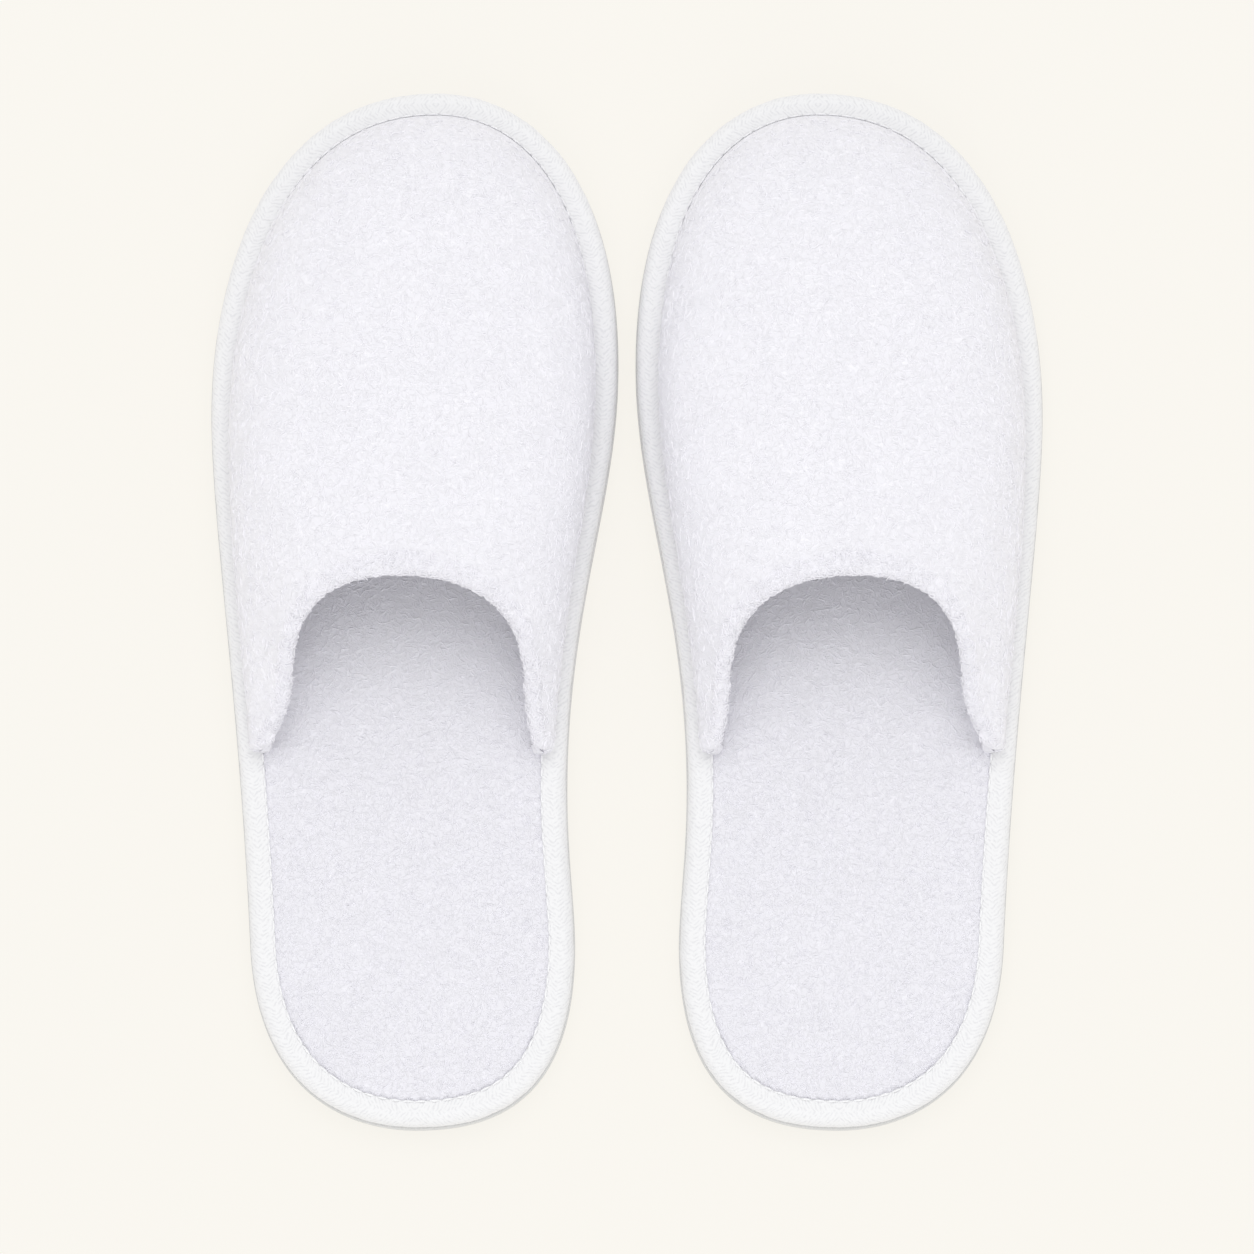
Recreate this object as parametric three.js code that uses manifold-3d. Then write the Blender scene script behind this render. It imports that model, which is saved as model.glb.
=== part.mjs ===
// A pair of closed-toe terry spa slippers, in millimetres, +Z up.
// The origin is on the floor midway between the two slippers. +Y runs towards the toes.
// Each slipper is designed as a left one, with +X towards the other foot, and the right one is its mirror.

import * as THREE from 'three';
import { mergeVertices } from 'three/addons/utils/BufferGeometryUtils.js';
import Module from 'manifold-3d';

const wasm = await Module();
wasm.setup();

// ---- Driving dimensions ----

// Sole outline
const SOLE_LENGTH = 290;
const BALL_WIDTH = 113.3;
const HEEL_WIDTH = 89.4;
const WAIST_MEDIAL_REACH = 42.5; // from the centre line to the arch side of the waist
const TOE_APEX_X = 5.7; // the toe's foremost point lies towards the big toe
const HEEL_APEX_X = 1;
const BALL_MEDIAL_BEHIND_TOE = 77;
const BALL_LATERAL_BEHIND_TOE = 90;
const WAIST_AHEAD_OF_HEEL = 94;
const HEEL_SIDE_AHEAD_OF_HEEL = 50.5;
const LATERAL_FLARE = 0.05; // slope of the outer side between heel and ball
const PAIR_GAP = 4.7; // between the two soles where they come closest

// Handle lengths of the outline's round ends, [lateral, medial]: a longer handle gives a squarer end
const HEEL_END_ROUND = [18, 19];
const HEEL_SIDE_ROUND = [41, 45];
const TOE_END_ROUND = [45, 26];
const BALL_ROUND = [44, 55];
const SIDE_HANDLE_SHARES = [0.46, 0.2];
const ARCH_HANDLE_SHARES = [0.32, 0.44];
const QUARTER_HANDLE_SHARES = [0.42, 0.25];

// Sole stack, from the floor up
const OUTSOLE_THICK = 4;
const BOARD_THICK = 1.2;
const FOAM_THICK = 3;
const FOOTBED_THICK = 2;

// Tread grooves under the outsole
const GROOVE_DEPTH = 0.8;
const GROOVE_WIDTH = 2.4;
const GROOVE_PITCH = 9;
const GROOVE_MARGIN = 11; // plain rim left at each groove's ends
const FOREFOOT_GROOVES = 11;
const HEEL_GROOVES = 6;
const FIRST_FOREFOOT_GROOVE_BEHIND_TOE = 25;
const FIRST_HEEL_GROOVE_AHEAD_OF_HEEL = 25;

// Edge binding tape, folded round the insole stack
const TAPE_SET_BACK = 0.3; // the outsole stands this far proud of the tape
const TAPE_WALL = 1.6;
const TAPE_TOP_THICK = 0.9;
const TAPE_FOOT_THICK = 0.8;
const TAPE_FLANGE = 7; // from the outsole's edge to the tape's inner edge
const TAPE_ROUND = 1.8; // how far the fold's rounding reaches in and down
const TAPE_FOOT_ROUND = 1.3;
const TAPE_CROWN = 0.25; // the tape's top is this much higher in its middle than at its edges

// Upper
const TERRY_THICK = 1.6;
const INTERLINING_THICK = 1.5;
const LINING_THICK = 0.8;
const THROAT_BEHIND_TOE = 143.5;
const WING_END_BEHIND_TOE = 187.5;
const THROAT_HEIGHT = 50;
const MOUTH_WIDTH = 66;
const MOUTH_CENTRE_X = -2.9; // of the edge's highest point
const MOUTH_SKEW = 2.1; // the mouth's corners lie about a line this much nearer the big toe
const MOUTH_TOP_HANDLE = 26; // how far the edge runs level on either side of its highest point
const SHOULDER_BEHIND_THROAT = 29; // where the mouth's corners turn into the wings
const SHOULDER_DROP = 18.5;
const SHOULDER_HANDLE_AHEAD = 14.5; // how far the mouth's edge runs straight on either side of its corner
const SHOULDER_HANDLE_BACK = 16;
const SHOULDER_SLOPE = 0.6; // the edge's fall towards the wing's end there
const WING_END_RISE = 9; // height of the stub that the wing ends in
const WING_END_INSET = 1.7; // the tip leans inwards from the seam by this much
const WING_HANDLE_SHARE = 0.3;
const SEAM_RISE = 1.8; // straight part of the upper just above its seam
const CROWN_RISE = 0.57; // how steeply the upper leaves the sole
const CROWN_REACH = 0.5; // how far the flat top reaches out from the throat
const CROWN_SLOPE = 0.045;
const CROWN_DROP = 3; // how far the cloth falls away just below the throat
const SIDE_BULGE = 1.2;
const FAN_EVEN = 0.35; // the share of the ribs' tops that is spread evenly along the throat
const FAN_EASE = 3; // the rest crowd towards the middle by this power
const HEM_WIDTH = 8;
const HEM_SHARE_MAX = 0.45; // a hem takes at most this share of a short rib

// Threads and clearances
const THREAD_RADIUS = 0.3;
const THREAD_FROM_TAPE_EDGE = 1.3;
const GAP = 0.3;

// Fineness of the solids
const HALF_UPPER_STEPS = 15;
const HALF_HEEL_STEPS = 10;
const RIB_ROWS = 7;
const THREAD_SIDES = 5;
const HEM_THREAD_STEPS = 28;
const RIB_MEASURES = 60; // how finely a rib is measured when a length along it is looked up
const MERGE_WITHIN = 1e-4;

// ---- Heights that follow from the stack ----

const boardTop = OUTSOLE_THICK + BOARD_THICK;
const foamTop = boardTop + FOAM_THICK;
const footbedTop = foamTop + FOOTBED_THICK;
const tapeUnderside = footbedTop + GAP;
const tapeTop = tapeUnderside + TAPE_TOP_THICK;
const upperBottom = footbedTop + GAP;
const upperRim = TAPE_FLANGE + GAP;
const stackThick = TERRY_THICK + INTERLINING_THICK + LINING_THICK + 2 * GAP;

// ---- Outline of the sole ----

const toeY = SOLE_LENGTH / 2;
const heelY = -SOLE_LENGTH / 2;
const wingY = toeY - WING_END_BEHIND_TOE;

// The outline's turning points, each where it runs straight along X or nearly along Y. Between two of
// them it bends once: it leaves the first by one handle and comes into the second by another.
function soleOutline() {
  const ball = BALL_WIDTH / 2;
  const heel = HEEL_WIDTH / 2;
  const heelApex = new THREE.Vector2(HEEL_APEX_X, heelY);
  const heelLateral = new THREE.Vector2(-heel, heelY + HEEL_SIDE_AHEAD_OF_HEEL);
  const heelMedial = new THREE.Vector2(heel, heelY + HEEL_SIDE_AHEAD_OF_HEEL);
  const waist = new THREE.Vector2(WAIST_MEDIAL_REACH, heelY + WAIST_AHEAD_OF_HEEL);
  const ballLateral = new THREE.Vector2(-ball, toeY - BALL_LATERAL_BEHIND_TOE);
  const ballMedial = new THREE.Vector2(ball, toeY - BALL_MEDIAL_BEHIND_TOE);
  const toeApex = new THREE.Vector2(TOE_APEX_X, toeY);
  const side = ballLateral.y - heelLateral.y;
  const [fromHeel, intoBall] = SIDE_HANDLE_SHARES.map((share) => side * share);
  const arch = ballMedial.y - waist.y;
  const quarter = waist.y - heelMedial.y;
  const path = new THREE.Path();
  path.moveTo(heelApex.x, heelApex.y);
  const bend = (leaveX, leaveY, arriveX, arriveY, end) => {
    const start = path.currentPoint;
    path.bezierCurveTo(start.x + leaveX, start.y + leaveY, end.x + arriveX, end.y + arriveY, end.x, end.y);
  };
  bend(-HEEL_END_ROUND[0], 0, HEEL_SIDE_ROUND[0] * LATERAL_FLARE, -HEEL_SIDE_ROUND[0], heelLateral);
  bend(-fromHeel * LATERAL_FLARE, fromHeel, 0, -intoBall, ballLateral);
  bend(0, BALL_ROUND[0], -TOE_END_ROUND[0], 0, toeApex);
  bend(TOE_END_ROUND[1], 0, 0, BALL_ROUND[1], ballMedial);
  bend(0, -arch * ARCH_HANDLE_SHARES[0], 0, arch * ARCH_HANDLE_SHARES[1], waist);
  bend(0, -quarter * QUARTER_HANDLE_SHARES[0], 0, quarter * QUARTER_HANDLE_SHARES[1], heelMedial);
  bend(0, -HEEL_SIDE_ROUND[1], HEEL_END_ROUND[1], 0, heelApex);
  return path;
}

const outline = soleOutline();
const NEAR_HEEL = 0.001; // a place on the outline just past the heel's apex, where it begins and ends

// Where the outline reaches a given Y, searched between two places along it.
function outlineWhere(y, low, high) {
  const rising = outline.getPointAt(high).y > outline.getPointAt(low).y;
  for (let i = 0; i < 40; i += 1) {
    const middle = (low + high) / 2;
    const below = outline.getPointAt(middle).y < y;
    if (below === rising) {
      low = middle;
    } else {
      high = middle;
    }
  }
  return (low + high) / 2;
}

// The toe's apex is the end of the outline's third curve.
const curveLengths = outline.getCurveLengths();
const toePlace = curveLengths[2] / curveLengths[curveLengths.length - 1];

// Shared stations: the lateral wing end, round the toe, to the medial wing end, then round the heel.
function soleStations() {
  const lateralWing = outlineWhere(wingY, NEAR_HEEL, toePlace);
  const medialWing = outlineWhere(wingY, toePlace, 1 - NEAR_HEEL);
  const places = [];
  const spread = (from, to, steps) => {
    for (let i = 0; i < steps; i += 1) {
      places.push(from + ((to - from) * i) / steps);
    }
  };
  spread(lateralWing, toePlace, HALF_UPPER_STEPS);
  spread(toePlace, medialWing, HALF_UPPER_STEPS);
  spread(medialWing, 1, HALF_HEEL_STEPS);
  spread(1, 1 + lateralWing, HALF_HEEL_STEPS);
  return places.map((place) => place % 1);
}

const stations = soleStations();

// A point on the outline at a station, moved inwards by a distance.
function insetPoint(station, inset) {
  const point = outline.getPointAt(station);
  const along = outline.getTangentAt(station);
  return new THREE.Vector2(point.x + along.y * inset, point.y - along.x * inset);
}

// ---- Solids ----

function closedGeometry(points, faces) {
  const geometry = new THREE.BufferGeometry();
  geometry.setFromPoints(points);
  geometry.setIndex(faces.flat());
  return geometry;
}

// A flat layer of the sole: the outline moved inwards, from one height to another.
function layer(inset, bottom, top) {
  const shape = new THREE.Shape(stations.map((station) => insetPoint(station, inset)));
  const geometry = new THREE.ExtrudeGeometry(shape, { depth: top - bottom, bevelEnabled: false });
  return geometry.translate(0, 0, bottom);
}

// A closed ring that runs round the sole. Its section is a list of [inset, height] pairs, in order.
function ringRoundSole(section) {
  const points = [];
  const faces = [];
  const around = stations.length;
  const across = section.length;
  for (const station of stations) {
    for (const [inset, height] of section) {
      const plan = insetPoint(station, inset);
      points.push(new THREE.Vector3(plan.x, plan.y, height));
    }
  }
  for (let i = 0; i < around; i += 1) {
    const here = i * across;
    const next = ((i + 1) % around) * across;
    for (let j = 0; j < across; j += 1) {
      const k = (j + 1) % across;
      faces.push([here + j, next + k, next + j], [here + j, here + k, next + k]);
    }
  }
  return closedGeometry(points, faces);
}

function solidFrom(geometry) {
  const bare = geometry.clone();
  bare.deleteAttribute('normal');
  bare.deleteAttribute('uv');
  const merged = mergeVertices(bare, MERGE_WITHIN);
  return new wasm.Manifold(new wasm.Mesh({
    numProp: 3,
    vertProperties: merged.attributes.position.array,
    triVerts: Uint32Array.from(merged.index.array),
  }));
}

function geometryFrom(solid) {
  const mesh = solid.getMesh();
  const geometry = new THREE.BufferGeometry();
  geometry.setAttribute('position', new THREE.BufferAttribute(new Float32Array(mesh.vertProperties), 3));
  geometry.setIndex([...mesh.triVerts]);
  return geometry;
}

// ---- Sole parts ----

// The outsole's underside has straight cross grooves at the forefoot and the heel, and a plain waist.
function outsole() {
  let solid = solidFrom(layer(0, 0, OUTSOLE_THICK));
  const places = [];
  for (let i = 0; i < FOREFOOT_GROOVES; i += 1) {
    places.push(toeY - FIRST_FOREFOOT_GROOVE_BEHIND_TOE - i * GROOVE_PITCH);
  }
  for (let i = 0; i < HEEL_GROOVES; i += 1) {
    places.push(heelY + FIRST_HEEL_GROOVE_AHEAD_OF_HEEL + i * GROOVE_PITCH);
  }
  for (const y of places) {
    const lateral = outline.getPointAt(outlineWhere(y, NEAR_HEEL, toePlace)).x + GROOVE_MARGIN;
    const medial = outline.getPointAt(outlineWhere(y, toePlace, 1 - NEAR_HEEL)).x - GROOVE_MARGIN;
    const groove = new THREE.BoxGeometry(medial - lateral, GROOVE_WIDTH, 2 * GROOVE_DEPTH);
    groove.translate((medial + lateral) / 2, y, 0);
    solid = solid.subtract(solidFrom(groove));
  }
  return geometryFrom(solid);
}

const insoleBoard = () => layer(TAPE_FLANGE + GAP, OUTSOLE_THICK, boardTop);

const stackEdge = TAPE_SET_BACK + TAPE_WALL + GAP;

const insoleFoam = () => layer(stackEdge, boardTop, foamTop);

const footbed = () => layer(stackEdge, foamTop, footbedTop);

// The tape's section is a C: a rounded outer side, a top flange, an inner wall and a foot flange.
function edgeBinding() {
  const wall = TAPE_SET_BACK + TAPE_WALL;
  const shoulder = TAPE_ROUND * (1 - Math.SQRT1_2);
  const heel = TAPE_FOOT_ROUND * (1 - Math.SQRT1_2);
  return ringRoundSole([
    [TAPE_SET_BACK + TAPE_FOOT_ROUND, OUTSOLE_THICK],
    [TAPE_SET_BACK + heel, OUTSOLE_THICK + heel],
    [TAPE_SET_BACK, OUTSOLE_THICK + TAPE_FOOT_ROUND],
    [TAPE_SET_BACK, tapeTop - TAPE_CROWN - TAPE_ROUND],
    [TAPE_SET_BACK + shoulder, tapeTop - TAPE_CROWN - shoulder],
    [TAPE_SET_BACK + TAPE_ROUND, tapeTop - TAPE_CROWN],
    [(wall + TAPE_FLANGE) / 2, tapeTop],
    [TAPE_FLANGE, tapeTop - TAPE_CROWN],
    [TAPE_FLANGE, tapeUnderside],
    [wall, tapeUnderside],
    [wall, OUTSOLE_THICK + TAPE_FOOT_THICK],
    [TAPE_FLANGE, OUTSOLE_THICK + TAPE_FOOT_THICK],
    [TAPE_FLANGE, OUTSOLE_THICK],
  ]);
}

// The seam thread lies on the tape's top, just outside the upper.
function bindingStitch() {
  const section = [];
  const inset = TAPE_FLANGE - THREAD_FROM_TAPE_EDGE;
  const height = tapeTop + GAP + THREAD_RADIUS;
  for (let i = 0; i < THREAD_SIDES; i += 1) {
    const turn = (2 * Math.PI * i) / THREAD_SIDES;
    section.push([inset - THREAD_RADIUS * Math.cos(turn), height + THREAD_RADIUS * Math.sin(turn)]);
  }
  return ringRoundSole(section);
}

// ---- Upper ----

// The throat edge runs in space from one wing's end, over the instep, to the other's.
function throatEdge(lateralEnd, medialEnd) {
  const y = toeY - THROAT_BEHIND_TOE;
  const apex = new THREE.Vector3(MOUTH_CENTRE_X, y, THROAT_HEIGHT);
  const half = (side, end) => {
    const edgeX = MOUTH_CENTRE_X + MOUTH_SKEW + (side * MOUTH_WIDTH) / 2;
    const shoulder = new THREE.Vector3(edgeX, y - SHOULDER_BEHIND_THROAT, THROAT_HEIGHT - SHOULDER_DROP);
    const downhill = new THREE.Vector3(0, -1, -SHOULDER_SLOPE);
    const overTop = apex.clone().add(new THREE.Vector3(side * MOUTH_TOP_HANDLE, 0, -1));
    const intoShoulder = shoulder.clone().addScaledVector(downhill, -SHOULDER_HANDLE_AHEAD);
    const outOfShoulder = shoulder.clone().addScaledVector(downhill, SHOULDER_HANDLE_BACK);
    const intoEnd = end.clone().lerp(shoulder, WING_HANDLE_SHARE);
    return [
      new THREE.CubicBezierCurve3(end, intoEnd, outOfShoulder, shoulder),
      new THREE.CubicBezierCurve3(shoulder, intoShoulder, overTop, apex),
    ];
  };
  const path = new THREE.CurvePath();
  half(-1, lateralEnd).forEach((curve) => path.add(curve));
  half(1, medialEnd).reverse().forEach((curve) => {
    path.add(new THREE.CubicBezierCurve3(curve.v3, curve.v2, curve.v1, curve.v0));
  });
  return path;
}

// One end of the throat edge, at a wing's tip just above the seam.
function wingTip(station) {
  const plan = insetPoint(station, upperRim + WING_END_INSET);
  return new THREE.Vector3(plan.x, plan.y, upperBottom + SEAM_RISE + WING_END_RISE);
}

// Ribs: curves that leave the sole's edge, rise and reach the throat. They carry every upper layer.
function upperRibs() {
  const count = 2 * HALF_UPPER_STEPS;
  const throat = throatEdge(wingTip(stations[0]), wingTip(stations[count]));
  const ribs = [];
  for (let i = 0; i <= count; i += 1) {
    const fromEnd = 1 - Math.abs(1 - (2 * i) / count);
    const eased = FAN_EVEN * fromEnd + (1 - FAN_EVEN) * (1 - (1 - fromEnd) ** FAN_EASE);
    const top = throat.getPointAt(i <= HALF_UPPER_STEPS ? eased / 2 : 1 - eased / 2);
    const seam = insetPoint(stations[i], upperRim);
    const outer = insetPoint(stations[i], upperRim - SIDE_BULGE);
    const foot = new THREE.Vector3(seam.x, seam.y, upperBottom + SEAM_RISE);
    const rise = (top.z - foot.z) * CROWN_RISE;
    const reach = new THREE.Vector2(foot.x - top.x, foot.y - top.y);
    const first = new THREE.Vector3(outer.x, outer.y, foot.z + rise);
    const second = new THREE.Vector3(
      top.x + reach.x * CROWN_REACH,
      top.y + reach.y * CROWN_REACH,
      top.z - CROWN_DROP - reach.length() * CROWN_SLOPE,
    );
    ribs.push(new THREE.CubicBezierCurve3(foot, first, second, top));
  }
  return ribs;
}

// How far along a rib, from 0 to 1, the given length is left before the throat.
function placeBeforeThroat(rib, distance) {
  const lengths = rib.getLengths(RIB_MEASURES);
  const wanted = lengths[RIB_MEASURES] - distance;
  const after = lengths.findIndex((length) => length >= wanted);
  const share = (wanted - lengths[after - 1]) / (lengths[after] - lengths[after - 1]);
  return (after - 1 + share) / RIB_MEASURES;
}

// Rows of points on the outer face: the seam row, evenly spaced rows up to the hem, and the hem's rows.
function upperGrid() {
  const ribs = upperRibs();
  return ribs.map((rib) => {
    const foot = rib.v0;
    const rows = [new THREE.Vector3(foot.x, foot.y, upperBottom)];
    const hemWidth = Math.min(HEM_WIDTH, rib.getLength() * HEM_SHARE_MAX);
    const hem = placeBeforeThroat(rib, hemWidth);
    for (let j = 0; j <= RIB_ROWS; j += 1) {
      rows.push(rib.getPoint((hem * j) / RIB_ROWS));
    }
    for (const left of [hemWidth - GAP, hemWidth - 2 * GAP, hemWidth / 2]) {
      rows.push(rib.getPoint(placeBeforeThroat(rib, left)));
    }
    rows.push(rib.v3.clone());
    return rows;
  });
}

const hemRow = RIB_ROWS + 1;
const grid = upperGrid();

// Unit normals of the grid, outwards. The seam row's lie flat, so that all layers stand on one level.
// The rows of the hem's step share one normal, which keeps its wall clear of the other layers' edges.
function gridNormals() {
  return grid.map((rows, i) => rows.map((point, j) => {
    const row = j === hemRow + 1 || j === hemRow + 2 ? hemRow : j;
    const before = grid[Math.max(i - 1, 0)][row];
    const after = grid[Math.min(i + 1, grid.length - 1)][row];
    const below = rows[Math.max(row - 1, 0)];
    const above = rows[Math.min(row + 1, rows.length - 1)];
    const along = after.clone().sub(before);
    const up = above.clone().sub(below);
    const normal = up.cross(along).normalize();
    if (j === 0) {
      normal.z = 0;
      normal.normalize();
    }
    return normal;
  }));
}

const normals = gridNormals();

// A layer of the upper between two depths under the outer face, over the first rows of the grid.
// The inner depth is a function of the row, so that a hem can be thicker than the cloth.
function upperLayer(rowCount, outerDepth, innerDepth) {
  const points = [];
  const faces = [];
  const ribs = grid.length;
  const at = (i, j, inner) => (i * rowCount + j) * 2 + inner;
  for (let i = 0; i < ribs; i += 1) {
    for (let j = 0; j < rowCount; j += 1) {
      for (const depth of [outerDepth, innerDepth(j)]) {
        points.push(grid[i][j].clone().addScaledVector(normals[i][j], -depth));
      }
    }
  }
  const quad = (a, b, c, d) => faces.push([a, b, c], [a, c, d]);
  for (let i = 0; i < ribs - 1; i += 1) {
    for (let j = 0; j < rowCount - 1; j += 1) {
      quad(at(i, j, 0), at(i, j + 1, 0), at(i + 1, j + 1, 0), at(i + 1, j, 0));
      quad(at(i, j, 1), at(i + 1, j, 1), at(i + 1, j + 1, 1), at(i, j + 1, 1));
    }
    const last = rowCount - 1;
    quad(at(i, 0, 0), at(i + 1, 0, 0), at(i + 1, 0, 1), at(i, 0, 1));
    quad(at(i, last, 0), at(i, last, 1), at(i + 1, last, 1), at(i + 1, last, 0));
  }
  for (let j = 0; j < rowCount - 1; j += 1) {
    const end = ribs - 1;
    quad(at(0, j, 0), at(0, j, 1), at(0, j + 1, 1), at(0, j + 1, 0));
    quad(at(end, j, 0), at(end, j + 1, 0), at(end, j + 1, 1), at(end, j, 1));
  }
  return closedGeometry(points, faces);
}

// The outer terry turns over the throat and back down inside, where it covers the other layers' edges.
function upperTerry() {
  const depthAt = (row) => (row > hemRow + 1 ? stackThick : TERRY_THICK);
  return upperLayer(grid[0].length, 0, depthAt);
}

const interliningDepth = TERRY_THICK + GAP;

function upperInterlining() {
  return upperLayer(hemRow + 1, interliningDepth, () => interliningDepth + INTERLINING_THICK);
}

const liningDepth = interliningDepth + INTERLINING_THICK + GAP;

const upperLining = () => upperLayer(hemRow + 1, liningDepth, () => liningDepth + LINING_THICK);

// The hem's thread lies inside the mouth, on the turned-in terry.
function hemStitch() {
  const depth = stackThick + GAP + THREAD_RADIUS;
  const row = hemRow + 3;
  const path = grid.map((rows, i) => rows[row].clone().addScaledVector(normals[i][row], -depth));
  const thread = new THREE.CatmullRomCurve3(path.slice(1, -1));
  const section = new THREE.Shape();
  for (let i = 0; i < THREAD_SIDES; i += 1) {
    const turn = (2 * Math.PI * i) / THREAD_SIDES;
    const corner = [THREAD_RADIUS * Math.cos(turn), THREAD_RADIUS * Math.sin(turn)];
    if (i === 0) {
      section.moveTo(...corner);
    } else {
      section.lineTo(...corner);
    }
  }
  const sweep = { steps: HEM_THREAD_STEPS, extrudePath: thread, bevelEnabled: false };
  return new THREE.ExtrudeGeometry(section, sweep);
}

// ---- The pair ----

const terryLook = { color: 0xefeef3, roughness: 0.95, metalness: 0 };
const tapeLook = { color: 0xf1f1f2, roughness: 0.85, metalness: 0 };
const foamLook = { color: 0xf4f1e6, roughness: 0.9, metalness: 0 };
const boardLook = { color: 0xcdb893, roughness: 0.9, metalness: 0 };
const evaLook = { color: 0xdededd, roughness: 0.7, metalness: 0 };
const threadLook = { color: 0xf6f5f8, roughness: 0.7, metalness: 0 };

const pieces = [
  ['outsole', outsole(), evaLook],
  ['insole_board', insoleBoard(), boardLook],
  ['insole_foam', insoleFoam(), foamLook],
  ['footbed_terry', footbed(), terryLook],
  ['edge_binding', edgeBinding(), tapeLook],
  ['binding_stitch', bindingStitch(), threadLook],
  ['upper_terry', upperTerry(), terryLook],
  ['upper_interlining', upperInterlining(), foamLook],
  ['upper_lining', upperLining(), tapeLook],
  ['hem_stitch', hemStitch(), threadLook],
];

// The mirror image of a solid, with its faces turned so that they still look outwards.
function mirrored(geometry) {
  const copy = geometry.clone();
  copy.deleteAttribute('normal');
  copy.deleteAttribute('uv');
  const merged = mergeVertices(copy, MERGE_WITHIN).scale(-1, 1, 1);
  const index = merged.index.array;
  for (let i = 0; i < index.length; i += 3) {
    [index[i], index[i + 1]] = [index[i + 1], index[i]];
  }
  return merged;
}

function slipper(side, geometryOf) {
  const group = new THREE.Group();
  for (const [name, geometry, look] of pieces) {
    const mesh = new THREE.Mesh(geometryOf(geometry), new THREE.MeshStandardMaterial(look));
    mesh.name = `${side}_${name}`;
    group.add(mesh);
  }
  return group;
}

const pair = new THREE.Group();
const left = slipper('left', (geometry) => geometry);
left.position.x = -(BALL_WIDTH + PAIR_GAP) / 2;
const right = slipper('right', mirrored);
right.position.x = (BALL_WIDTH + PAIR_GAP) / 2;
pair.add(left, right);

export default pair;
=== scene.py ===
import math

import bpy
import numpy as np
from mathutils import Matrix, Vector, noise


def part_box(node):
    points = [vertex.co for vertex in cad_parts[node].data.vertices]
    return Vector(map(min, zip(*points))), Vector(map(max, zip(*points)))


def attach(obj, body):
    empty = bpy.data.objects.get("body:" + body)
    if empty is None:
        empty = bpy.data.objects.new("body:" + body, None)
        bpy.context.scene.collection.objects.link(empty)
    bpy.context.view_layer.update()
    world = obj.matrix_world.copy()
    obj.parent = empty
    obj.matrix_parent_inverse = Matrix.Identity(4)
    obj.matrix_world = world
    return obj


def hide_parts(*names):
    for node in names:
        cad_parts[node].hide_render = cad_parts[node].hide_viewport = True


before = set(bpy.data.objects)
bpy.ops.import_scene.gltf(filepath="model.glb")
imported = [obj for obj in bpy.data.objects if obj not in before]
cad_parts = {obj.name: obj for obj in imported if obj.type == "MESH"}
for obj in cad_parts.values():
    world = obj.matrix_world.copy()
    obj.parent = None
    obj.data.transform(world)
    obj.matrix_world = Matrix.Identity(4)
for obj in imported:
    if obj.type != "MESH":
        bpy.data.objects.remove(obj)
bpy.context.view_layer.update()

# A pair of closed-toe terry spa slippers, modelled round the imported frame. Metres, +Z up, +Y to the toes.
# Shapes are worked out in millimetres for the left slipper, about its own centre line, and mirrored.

MM = 0.001
SIDES = ("left", "right")


# ---- Places that the frame gives, in millimetres ----

def node_box(node):
    """The low and high corners of a CAD node's box."""
    low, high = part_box(node)
    return np.array(low) / MM, np.array(high) / MM


sole_low, sole_high = node_box("left_outsole")
tape_high = node_box("left_edge_binding")[1]
footbed_low, footbed_high = node_box("left_footbed_terry")
foam_low, foam_high = node_box("left_insole_foam")
upper_low, upper_high = node_box("left_upper_terry")

CENTRE_X = (sole_low[0] + sole_high[0]) / 2
HEEL_Y, TOE_Y = sole_low[1], sole_high[1]
OUTSOLE_TOP = sole_high[2]
TAPE_TOP = tape_high[2]
FOOTBED_TOP = footbed_high[2]
SEAM_Z = upper_low[2]
THROAT_Z = upper_high[2]

# ---- Design sizes that the frame doesn't hold, in millimetres ----

BALL_HALF = (sole_high[0] - sole_low[0]) / 2
HEEL_HALF = 44.7
WAIST_MEDIAL = 42.5
TOE_APEX_X = 5.7
HEEL_APEX_X = 1.0
BALL_MEDIAL_Y = TOE_Y - 77
BALL_LATERAL_Y = TOE_Y - 90
WAIST_Y = HEEL_Y + 94
HEEL_SIDE_Y = HEEL_Y + 50.5
LATERAL_FLARE = 0.05
# How far each end of an outline's arc runs straight, first its start and then its end
HEEL_END_ROUND = (18, 19)
HEEL_SIDE_ROUND = (41, 45)
TOE_END_ROUND = (45, 26)
BALL_ROUND = (44, 55)
# The same for the long sides, as shares of the side's length
SIDE_HANDLES = (0.46, 0.2)
ARCH_HANDLES = (0.32, 0.44)
QUARTER_HANDLES = (0.42, 0.25)

TAPE_FLANGE = 7.0
TAPE_SET_BACK = 0.4
TAPE_THICK = 0.9
UPPER_RIM = TAPE_FLANGE + 0.3
THROAT_Y = TOE_Y - 142.6
WING_Y = TOE_Y - 187.5
MOUTH_HALF = 34.7
MOUTH_X = -2.9
MOUTH_SKEW = 2.4
SHOULDER_BACK = 29
SHOULDER_DROP = 18.5
SHOULDER_SLOPE = 0.6
WING_RISE = 9.9
WING_INSET = -0.6
SEAM_RISE = 0.9
TERRY_THICK = 1.6
STACK_THICK = 4.5
HEM_WIDTH = 8
MOUTH_TOP_HANDLE = 26
SHOULDER_HANDLE_AHEAD = 14.5
SHOULDER_HANDLE_BACK = 6
WING_HANDLE_SHARE = 0.36

UPPER_LOOPS = 6300
THROAT_LOOPS = 1200
FOOTBED_LOOPS = 6500
GROOVE_START = 25
GROOVE_PITCH = 9
TOE_GROOVES = 11
HEEL_GROOVES = 6
GROOVE_WIDTH = 2.4
GROOVE_DEPTH = 0.8
GROOVE_MARGIN = 11
# Half the way round the sole: the length of the tape's map on each side of the toe
HALF_ROUND = 351


# ---- Curves ----

CURVE_STEPS = 200


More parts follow.
